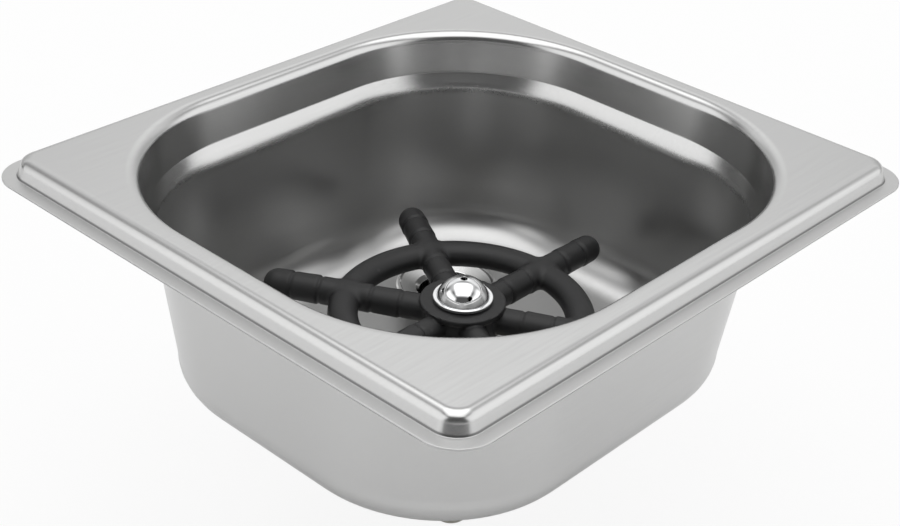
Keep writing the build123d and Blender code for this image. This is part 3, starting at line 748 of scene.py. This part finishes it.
def wheel_blank_tree():
    """Rough wheel in millimetres: arms repeated round the axle, ring, hub and collar, fused on a grid."""
    tree, size, out = new_group(
        "wheel_blank", "GeometryNodeTree",
        {"Arm Count": 6, "First Turn": 0.0, "Reach": 50.0, "Arm Radius": 3.0, "Ring Radius": 30.0,
         "Ring Width": 6.0, "Ring Height": 6.0, "Hub Radius": 10.0, "Hub Low": -4.0, "Collar Radius": 11.0,
         "Collar Low": 3.0, "Collar Top": 5.0, "Grid": 0.5, "Material": "NodeSocketMaterial"},
        {"Geometry": "NodeSocketGeometry"},
    )

    def moved(solid, shift, **values):
        """A solid shifted by coordinates given by number."""
        way = made(tree, "ShaderNodeCombineXYZ", shift)
        return made(tree, "GeometryNodeTransform", {"Geometry": solid, "Translation": way, **values})

    def joined(*solids):
        """These solids as one geometry."""
        node = add_node(tree, "GeometryNodeJoinGeometry")
        for solid in solids:
            tree.links.new(solid, node.inputs[0])
        return node.outputs[0]

    def upright(low, high, radius):
        """Upright cylinder between two levels."""
        height = calculate(tree, "SUBTRACT", high, low)
        middle = calculate(tree, "MULTIPLY", calculate(tree, "ADD", high, low), 0.5)
        solid = made(tree, "GeometryNodeMeshCylinder", {"Vertices": 64, "Radius": radius, "Depth": height})
        return moved(solid, {2: middle})

    shaft = calculate(tree, "SUBTRACT", size["Reach"], size["Arm Radius"])
    half = calculate(tree, "MULTIPLY", shaft, 0.5)
    thickness = size["Arm Radius"]
    rod = made(tree, "GeometryNodeMeshCylinder", {"Vertices": 32, "Radius": thickness, "Depth": shaft})
    tip = made(tree, "GeometryNodeMeshUVSphere", {"Segments": 32, "Rings": 16, "Radius": thickness})
    arm = joined(moved(rod, {0: half}, Rotation=(0.0, math.pi / 2, 0.0)), moved(tip, {0: shaft}))
    seats = made(tree, "GeometryNodePoints", {"Count": size["Arm Count"]})
    number = made(tree, "GeometryNodeInputIndex")
    pitch = calculate(tree, "DIVIDE", 2 * math.pi, size["Arm Count"])
    turn = calculate(tree, "ADD", calculate(tree, "MULTIPLY", number, pitch), size["First Turn"])
    turned = made(tree, "ShaderNodeCombineXYZ", {2: turn})
    arms = made(tree, "GeometryNodeInstanceOnPoints", {"Points": seats, "Instance": arm, "Rotation": turned})
    path = made(tree, "GeometryNodeCurvePrimitiveCircle", {"Resolution": 192, "Radius": size["Ring Radius"]})
    section = made(tree, "GeometryNodeCurvePrimitiveCircle", {"Resolution": 32, "Radius": 0.5})
    flat = made(tree, "ShaderNodeCombineXYZ", {0: size["Ring Width"], 1: size["Ring Height"], 2: 1.0})
    oval = made(tree, "GeometryNodeTransform", {"Geometry": section, "Scale": flat})
    ring = made(tree, "GeometryNodeCurveToMesh", {"Curve": path, "Profile Curve": oval})
    hub = upright(size["Hub Low"], size["Collar Low"], size["Hub Radius"])
    collar = upright(size["Collar Low"], size["Collar Top"], size["Collar Radius"])
    solid = made(tree, "GeometryNodeRealizeInstances", {0: joined(arms, ring, hub, collar)})
    grid = made(tree, "GeometryNodeMeshToVolume",
                {"Mesh": solid, "Voxel Size": size["Grid"], "Interior Band Width": 2.0},
                resolution_mode="VOXEL_SIZE")
    skin = made(tree, "GeometryNodeVolumeToMesh", {"Volume": grid, "Threshold": 0.1})
    real = made(tree, "GeometryNodeRealizeInstances", {0: skin})
    finish = made(tree, "GeometryNodeSetMaterial", {"Geometry": real, "Material": size["Material"]})
    tree.links.new(finish, out[0])
    return tree


def from_tree(tree, **values):
    """Mesh that a Geometry Nodes tree makes with these inputs."""
    holder = new_piece("holder", bpy.data.meshes.new("holder"))
    step = holder.modifiers.new("nodes", "NODES")
    step.node_group = tree
    for item in tree.interface.items_tree:
        key = item.name.replace(" ", "_")
        if item.in_out == "INPUT" and key in values:
            step[item.identifier] = values[key]
    bpy.context.view_layer.update()
    graph = bpy.context.evaluated_depsgraph_get()
    mesh = bpy.data.meshes.new_from_object(holder.evaluated_get(graph))
    blank = holder.data
    bpy.data.objects.remove(holder)
    bpy.data.meshes.remove(blank)
    return mesh


def blended(one, other, width):
    """Smaller of two distances with a rounded hollow between them."""
    mix = np.clip(0.5 + 0.5 * (other - one) / width, 0, 1)
    return other + (one - other) * mix - width * mix * (1 - mix)


def disc_distance(radius, height, outer, low, high, edge):
    """Distance to an upright disc with rounded edges."""
    aside = radius - (outer - edge)
    above = np.abs(height - (low + high) / 2) - ((high - low) / 2 - edge)
    outside = np.hypot(np.maximum(aside, 0), np.maximum(above, 0))
    return outside + np.minimum(np.maximum(aside, above), 0) - edge


def wheel_distance(places):
    """Signed distance from places in millimetres, measured from the axle, to the wheel's surface."""
    across, along, height = places.T
    radius = np.hypot(across, along)
    aside = (radius - RING_RADIUS) / RING_HALF_WIDTH
    above = height / RING_HALF_HEIGHT
    share = np.hypot(aside, above)
    slope = np.maximum(np.hypot(aside / RING_HALF_WIDTH, above / RING_HALF_HEIGHT), 1e-6)
    ring = share * (share - 1) / slope
    arms = np.full(len(places), 1e3)
    for number in range(ARM_COUNT):
        turn = ARM_TURN + number * 2 * math.pi / ARM_COUNT
        outward = across * math.cos(turn) + along * math.sin(turn)
        sideways = along * math.cos(turn) - across * math.sin(turn)
        past_ring = np.clip((outward - RING_RADIUS) / RING_HALF_WIDTH + 0.5, 0, 1)
        thickness = ARM_RADIUS + (ARM_END_RADIUS - ARM_RADIUS) * past_ring
        for joint in ARM_JOINTS:
            beyond = outward - joint
            thickness -= JOINT_GROOVE * np.exp(-((beyond / JOINT_GROOVE_WIDTH) ** 2))
            lip = np.clip(beyond / JOINT_GROOVE_WIDTH, 0, 1)
            thickness += JOINT_FLARE * lip * np.exp(-np.maximum(beyond, 0) / JOINT_FLARE_LENGTH)
        held = np.clip(outward, 0, ARM_REACH - ARM_END_RADIUS)
        reach = np.sqrt((outward - held) ** 2 + sideways**2 + height**2) - thickness
        arms = np.minimum(arms, reach)
    hub = disc_distance(radius, height, HUB_RADIUS, HUB_LOW, COLLAR_LOW + 1, HUB_EDGE)
    collar = disc_distance(radius, height, COLLAR_RADIUS, COLLAR_LOW, COLLAR_TOP, COLLAR_EDGE)
    shape = blended(arms, ring, RING_HOLLOW)
    shape = blended(shape, hub, HUB_HOLLOW)
    return blended(shape, collar, COLLAR_HOLLOW)


def make_wheel():
    """Moulded wheel: six jointed arms through a ring, on a hub with a flat collar."""
    blank = from_tree(
        wheel_blank_tree(), Arm_Count=ARM_COUNT, First_Turn=ARM_TURN, Reach=ARM_REACH,
        Arm_Radius=ARM_END_RADIUS, Ring_Radius=RING_RADIUS, Ring_Width=2 * RING_HALF_WIDTH,
        Ring_Height=2 * RING_HALF_HEIGHT, Hub_Radius=HUB_RADIUS, Hub_Low=HUB_LOW, Collar_Radius=COLLAR_RADIUS,
        Collar_Low=COLLAR_LOW, Collar_Top=COLLAR_TOP, Grid=WHEEL_GRID, Material=FINISHES["wheel_black"],
    )
    places = np.empty(len(blank.vertices) * 3)
    blank.vertices.foreach_get("co", places)
    places = places.reshape(-1, 3)
    for _ in range(SETTLE_ROUNDS):
        distance = wheel_distance(places)
        slope = np.stack([
            wheel_distance(places + SLOPE_STEP * way) - wheel_distance(places - SLOPE_STEP * way)
            for way in np.eye(3)
        ], axis=1) / (2 * SLOPE_STEP)
        slope /= np.maximum(np.linalg.norm(slope, axis=1, keepdims=True), 1e-6)
        places = places - slope * distance[:, None]
    moved = (places + np.array([*VALVE, AXLE_LEVEL])) * METRE
    blank.vertices.foreach_set("co", moved.ravel())
    outwards(blank)
    wheel = new_piece("moulded_wheel", blank)
    top, bottom = AXLE_LEVEL + 10, AXLE_LEVEL - 10
    bore = [(0.0, top, 0.0), (WHEEL_BORE, top, 0.0), (WHEEL_BORE, bottom, 0.0), (0.0, bottom, 0.0)]
    combine(wheel, "DIFFERENCE", turned_mesh("bore", VALVE, bore))
    shade(wheel.data, 50.0)
    return wheel


# Nozzle


def dome_line(radius, start, end, steps):
    """Points on a sphere round the dome's centre, from one angle off its axis to another."""
    line = []
    for step in range(steps + 1):
        angle = start + (end - start) * step / steps
        line.append((radius * math.sin(angle), DOME_CENTRE + radius * math.cos(angle), 0.0))
    return line


def make_nozzle():
    """Chromed cap: domed top with its jets, flange, and the skirt that the wheel turns on."""
    inner = DOME_RADIUS - CAP_WALL
    skirt_in = NOZZLE_SKIRT - CAP_WALL
    groove = DOME_FOOT - DOME_GROOVE
    outline = [
        (NOZZLE_SKIRT, NOZZLE_LOW, 0.0), (NOZZLE_SKIRT, FLANGE_LOW, 0.0),
        (CAP_FLANGE, FLANGE_LOW, 0.18), (CAP_FLANGE, DOME_FOOT, 0.22),
        (DOME_FOOT_RADIUS + 0.22, DOME_FOOT, 0.0), (DOME_FOOT_RADIUS + 0.18, groove, 0.0),
        (DOME_FOOT_RADIUS, groove, 0.0),
        *dome_line(DOME_RADIUS, math.asin(DOME_FOOT_RADIUS / DOME_RADIUS), 0.0, 24),
        *dome_line(inner, 0.0, math.asin(skirt_in / inner), 12),
        (skirt_in, STEM_TOP, 0.0), (STEM_HOLE, STEM_TOP, 0.0), (STEM_HOLE, NOZZLE_LOW, 0.0),
    ]
    nozzle = new_piece("jet_nozzle", turned_mesh("jet_nozzle", VALVE, outline, FINE_STEPS))
    jets = [(0.0, 0.0, CENTRE_JET)]
    for number in range(SIDE_JET_COUNT):
        jets.append((SIDE_JET_TILT, SIDE_JET_TURN + 360.0 / SIDE_JET_COUNT * number, SIDE_JET))
    start, mouth, beyond = 5.0, DOME_RADIUS + JET_LEAD_DEPTH, DOME_RADIUS + 1
    for tilt, turn, radius in jets:
        wide = radius + JET_LEAD
        bit = [(0.0, start, 0.0), (radius, start, 0.0), (radius, DOME_RADIUS - JET_LEAD_DEPTH, 0.0),
               (wide, mouth, 0.0), (wide, beyond, 0.0), (0.0, beyond, 0.0)]
        mesh = turned_mesh("jet", (0.0, 0.0), bit, 48)
        turned = Matrix.Rotation(math.radians(turn), 4, "Z") @ Matrix.Rotation(math.radians(tilt), 4, "Y")
        mesh.transform(Matrix.Translation(Vector((*VALVE, DOME_CENTRE)) * METRE) @ turned)
        combine(nozzle, "DIFFERENCE", mesh)
    shade(nozzle.data, 30.0)
    return nozzle


# Threads


def thread_tree():
    """One turn after another of a thread's ridge, wound up an axis, in millimetres."""
    tree, size, out = new_group(
        "wound_thread", "GeometryNodeTree",
        {"Turns": 8.0, "Pitch": 1.8, "Radius": 10.0, "Depth": 0.9, "Material": "NodeSocketMaterial"},
        {"Geometry": "NodeSocketGeometry"},
    )
    height = calculate(tree, "MULTIPLY", size["Turns"], size["Pitch"])
    middle = calculate(tree, "SUBTRACT", size["Radius"], size["Depth"])
    path = made(tree, "GeometryNodeCurveSpiral", {"Resolution": 48, "Rotations": size["Turns"],
                                                  "Start Radius": middle, "End Radius": middle,
                                                  "Height": height})
    section = made(tree, "GeometryNodeCurvePrimitiveCircle", {"Resolution": 6, "Radius": size["Depth"]})
    ridge = made(tree, "GeometryNodeCurveToMesh",
                 {"Curve": path, "Profile Curve": section, "Fill Caps": True})
    real = made(tree, "GeometryNodeRealizeInstances", {0: ridge})
    finish = made(tree, "GeometryNodeSetMaterial", {"Geometry": real, "Material": size["Material"]})
    tree.links.new(finish, out[0])
    return tree


THREAD_TREE = thread_tree()


def add_thread(piece, place, low, high, slot):
    """Wind a thread's ridge on a piece between two levels."""
    ridge = from_tree(THREAD_TREE, Turns=(high - low) / THREAD_PITCH, Pitch=THREAD_PITCH, Radius=THREAD,
                      Depth=THREAD_DEPTH, Material=FINISHES[slot])
    ridge.transform(Matrix.Translation(Vector((*place, low)) * METRE) @ Matrix.Scale(METRE, 4))
    join_mesh(piece, ridge)


# Drain, valve housing, nuts, inlet and spring


def make_drain():
    """Drain: dished flange with a bevelled rim, threaded tail and plain spigot."""
    drain = new_piece("drain_tail", turned_mesh("drain_tail", DRAIN, DRAIN_OUTLINE, FINE_STEPS))
    add_thread(drain, DRAIN, *DRAIN_THREAD, "drain_steel")
    shade(drain.data, 30.0)
    return drain


def make_housing():
    """Valve housing: flange and neck above the floor, thread below, bored right through."""
    housing = new_piece("valve_housing", turned_mesh("valve_housing", VALVE, HOUSING_OUTLINE, FINE_STEPS))
    add_thread(housing, VALVE, *HOUSING_THREAD, "plated_brass")
    shade(housing.data, 30.0)
    return housing


def make_hexagon(name, place, flats, levels, bore, chamfer):
    """Hexagon nut: corners cut by a cone at both ends, edges eased, bored through."""
    top, bottom = levels
    corner = flats / math.sqrt(3)
    fall = chamfer * NUT_CHAMFER_FALL
    outline = [(0.0, top, 0.0), (corner - chamfer, top, 0.0), (corner, top - fall, 0.0),
               (corner, bottom + fall, 0.0), (corner - chamfer, bottom, 0.0), (0.0, bottom, 0.0)]
    nut = new_piece(name, turned_mesh(name, place, outline))
    points = []
    for level in (top + 1, bottom - 1):
        for number in range(6):
            angle = math.radians(30 + 60 * number)
            points.append((place[0] + corner * math.cos(angle), place[1] + corner * math.sin(angle), level))
    faces = [(0, 1, 2, 3, 4, 5), (11, 10, 9, 8, 7, 6)]
    faces += [(number, (number + 1) % 6, 6 + (number + 1) % 6, 6 + number) for number in range(6)]
    combine(nut, "INTERSECT", mesh_from("block", points, faces))
    wide = bore + BORE_LEAD
    hole = [(0.0, top + 1, 0.0), (wide, top + 1, 0.0), (wide, top, 0.0), (bore, top - BORE_LEAD_DEPTH, 0.0),
            (bore, bottom + BORE_LEAD_DEPTH, 0.0), (wide, bottom, 0.0), (wide, bottom - 1, 0.0),
            (0.0, bottom - 1, 0.0)]
    combine(nut, "DIFFERENCE", turned_mesh("bore", place, hole))
    ease = nut.modifiers.new("ease", "BEVEL")
    ease.width = EDGE_EASE * METRE
    ease.segments = 2
    ease.limit_method = "ANGLE"
    ease.angle_limit = math.radians(25)
    settled(nut)
    shade(nut.data, 30.0)
    return nut


def make_inlet():
    """Inlet fitting: nose in the housing, hexagon, and the tube that hangs from it."""
    inlet = make_hexagon("inlet_tube", VALVE, INLET_FLATS, INLET_HEXAGON, INLET_HEXAGON_BORE, INLET_CHAMFER)
    join_mesh(inlet, turned_mesh("tube", VALVE, TUBE_OUTLINE))
    shade(inlet.data, 30.0)
    return inlet


def make_spring():
    """Return spring: one round wire in open turns, with a flatter turn at each end."""
    open_turns = SPRING_TURNS - 2
    pitch = (SPRING_LENGTH - 2 * SPRING_WIRE - 2 * SPRING_END_RISE) / open_turns
    points = []
    for step in range(SPRING_STEPS * SPRING_TURNS + 1):
        turned = step / SPRING_STEPS
        rise = SPRING_END_RISE * (min(turned, 1) + max(turned - SPRING_TURNS + 1, 0))
        rise += pitch * min(max(turned - 1, 0), open_turns)
        angle = 2 * math.pi * turned
        for side in range(SPRING_SIDES):
            tip = 2 * math.pi * side / SPRING_SIDES
            reach = SPRING_RADIUS + SPRING_WIRE * math.cos(tip)
            points.append((VALVE[0] + reach * math.cos(angle), VALVE[1] + reach * math.sin(angle),
                           SPRING_FOOT + SPRING_WIRE + rise + SPRING_WIRE * math.sin(tip)))
    faces = [tuple(range(SPRING_SIDES)), tuple(range(len(points) - 1, len(points) - SPRING_SIDES - 1, -1))]
    for start in range(0, len(points) - SPRING_SIDES, SPRING_SIDES):
        for side in range(SPRING_SIDES):
            this, after = start + side, start + (side + 1) % SPRING_SIDES
            faces.append((this, this + SPRING_SIDES, after + SPRING_SIDES, after))
    spring = new_piece("press_spring", mesh_from("press_spring", points, faces))
    shade(spring.data, 40.0)
    return spring


nut_bore = THREAD + THREAD_GAP
dress(make_pan(), "pan_steel", "housing", "pan")
dress(make_wheel(), "wheel_black", "wheel", "star_wheel")
dress(make_nozzle(), "nozzle_chrome", "plunger", "spray_nozzle")
dress(make_drain(), "drain_steel", "housing", "drain_flange")
dress(make_housing(), "plated_brass", "housing", "valve_body")
dress(make_hexagon("housing_nut", VALVE, NUT_FLATS, BODY_NUT, nut_bore, NUT_CHAMFER), "plated_brass",
      "housing", "body_nut")
dress(make_hexagon("tail_nut", DRAIN, NUT_FLATS, DRAIN_NUT, nut_bore, NUT_CHAMFER), "plated_brass",
      "housing", "drain_nut")
dress(make_inlet(), "plated_brass", "housing", "inlet_fitting")
spring = make_spring()
dress(spring, "spring_steel", "housing", "return_spring")
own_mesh(spring)


# Carried-over CAD nodes


def smooth_tree():
    """Weld a CAD node's loose triangles and shade its round faces smooth."""
    tree, given, out = new_group("smooth_turned", "GeometryNodeTree",
                                 {"Geometry": "NodeSocketGeometry", "Angle": 0.5},
                                 {"Geometry": "NodeSocketGeometry"})
    welded = made(tree, "GeometryNodeMergeByDistance", {"Geometry": given[0], "Distance": 1e-6})
    angle = made(tree, "GeometryNodeInputMeshEdgeAngle")
    sharp = made(tree, "FunctionNodeCompare", {0: angle, 1: given["Angle"]}, operation="GREATER_THAN")
    marked = add_node(tree, "GeometryNodeStoreNamedAttribute", {"Geometry": welded, "Name": "sharp_edge"},
                      data_type="BOOLEAN", domain="EDGE")
    value = next(s for s in marked.inputs if s.name == "Value" and s.enabled)
    tree.links.new(sharp, value)
    tree.links.new(made(tree, "GeometryNodeSetShadeSmooth", {"Geometry": marked.outputs[0]}), out[0])
    return tree


SMOOTH = smooth_tree()
for subpart in frame["record"]["subparts"]:
    if subpart["node"] in shown_elsewhere:
        continue
    node = frame["nodes"][subpart["node"]]
    node.data.materials.clear()
    node.data.materials.append(FINISHES[subpart["material_slot"]])
    node.modifiers.new("smooth", "NODES").node_group = SMOOTH


# Camera


def make_camera():
    """Camera at the photograph's place and angle."""
    azimuth, elevation, roll = CAMERA_AZIMUTH, CAMERA_ELEVATION, CAMERA_ROLL
    back = Vector((math.sin(azimuth) * math.cos(elevation), -math.cos(azimuth) * math.cos(elevation),
                   math.sin(elevation)))
    level = Vector((math.cos(azimuth), math.sin(azimuth), 0))
    upwards = back.cross(level)
    right = level * math.cos(roll) + upwards * math.sin(roll)
    top = upwards * math.cos(roll) - level * math.sin(roll)
    lens = bpy.data.cameras.new("camera")
    lens.lens = CAMERA_LENS
    lens.sensor_width = CAMERA_SENSOR
    lens.sensor_fit = "HORIZONTAL"
    lens.clip_start = 0.01
    lens.clip_end = 50
    camera = bpy.data.objects.new("camera", lens)
    turned = Matrix((right, top, back)).transposed().to_4x4()
    camera.matrix_world = Matrix.Translation(Vector(CAMERA_PLACE) * METRE) @ turned
    bpy.context.scene.collection.objects.link(camera)
    bpy.context.scene.camera = camera


make_camera()


# Studio


def softbox_group():
    """Mask of one rectangular soft light seen far away in a direction."""
    tree, given, out = new_group(
        "softbox", "ShaderNodeTree",
        {"Direction": "NodeSocketVector", "Middle": "NodeSocketVector", "Side": "NodeSocketVector",
         "Rise": "NodeSocketVector", "Half Width": 1.0, "Half Height": 1.0, "Softness": 0.2},
        {"Mask": "NodeSocketFloat"},
    )

    def dot(label):
        """How far the direction goes along one of the box's own ways."""
        return of_vectors(tree, "DOT_PRODUCT", given["Direction"], given[label], output="Value")

    facing = dot("Middle")
    held = calculate(tree, "MAXIMUM", facing, 0.001)
    mask = calculate(tree, "GREATER_THAN", facing, 0.0)
    for label, half in (("Side", "Half Width"), ("Rise", "Half Height")):
        away = calculate(tree, "ABSOLUTE", calculate(tree, "DIVIDE", dot(label), held))
        low = calculate(tree, "SUBTRACT", given[half], given["Softness"])
        high = calculate(tree, "ADD", given[half], given["Softness"])
        edge = made(tree, "ShaderNodeMapRange",
                    {"Value": away, "From Min": low, "From Max": high, "To Min": 1.0, "To Max": 0.0},
                    interpolation_type="SMOOTHSTEP")
        mask = calculate(tree, "MULTIPLY", mask, edge)
    tree.links.new(mask, out[0])
    return tree


def make_studio():
    """Soft boxes in a pale room: overhead, both sides and a white backdrop."""
    world = bpy.data.worlds.new("studio")
    bpy.context.scene.world = world
    world.use_nodes = True
    tree = world.node_tree
    tree.nodes.clear()
    direction = add_node(tree, "ShaderNodeTexCoord").outputs["Generated"]
    softbox = softbox_group()
    light = ROOM_LEVEL
    for azimuth, elevation, half_width, half_height, softness, strength in SOFTBOXES:
        turn = CAMERA_AZIMUTH + math.radians(azimuth)
        rise = math.radians(elevation)
        values = {
            "Direction": direction,
            "Middle": (math.sin(turn) * math.cos(rise), -math.cos(turn) * math.cos(rise), math.sin(rise)),
            "Side": (math.cos(turn), math.sin(turn), 0.0),
            "Rise": (-math.sin(turn) * math.sin(rise), math.cos(turn) * math.sin(rise), math.cos(rise)),
            "Half Width": half_width, "Half Height": half_height, "Softness": softness,
        }
        box = made(tree, "ShaderNodeGroup", values, node_tree=softbox)
        light = calculate(tree, "MULTIPLY_ADD", box, strength, light)
    seen = add_node(tree, "ShaderNodeLightPath").outputs["Is Camera Ray"]
    keep = calculate(tree, "SUBTRACT", 1.0, seen)
    shown = calculate(tree, "MULTIPLY_ADD", light, keep, seen)
    background = made(tree, "ShaderNodeBackground", {"Color": (1.0, 1.0, 1.0, 1.0), "Strength": shown})
    out = add_node(tree, "ShaderNodeOutputWorld")
    tree.links.new(background, out.inputs["Surface"])


make_studio()


def make_floor():
    """Plain white floor that keeps the part's shadow."""
    corners = [(side * FLOOR_HALF, end * FLOOR_HALF, FLOOR_LEVEL)
               for side, end in ((-1, -1), (1, -1), (1, 1), (-1, 1))]
    mesh = mesh_from("studio_floor", corners, [(0, 1, 2, 3)])
    material = bpy.data.materials.new("studio_floor")
    material.use_nodes = True
    tree = material.node_tree
    shader = tree.nodes["Principled BSDF"]
    shader.inputs["Base Color"].default_value = (0.88, 0.88, 0.88, 1.0)
    shader.inputs["Roughness"].default_value = 0.7
    glow = made(tree, "ShaderNodeEmission", {"Color": (1.0, 1.0, 1.0, 1.0), "Strength": 1.0})
    seen = add_node(tree, "ShaderNodeLightPath").outputs["Is Camera Ray"]
    share = calculate(tree, "MULTIPLY", seen, FLOOR_GLOW_SHARE)
    both = made(tree, "ShaderNodeMixShader", {0: share, 1: shader.outputs[0], 2: glow})
    tree.links.new(both, tree.nodes["Material Output"].inputs["Surface"])
    mesh.materials.append(material)
    floor = new_piece("studio_floor", mesh)


make_floor()

bpy.context.scene.view_settings.view_transform = "Standard"
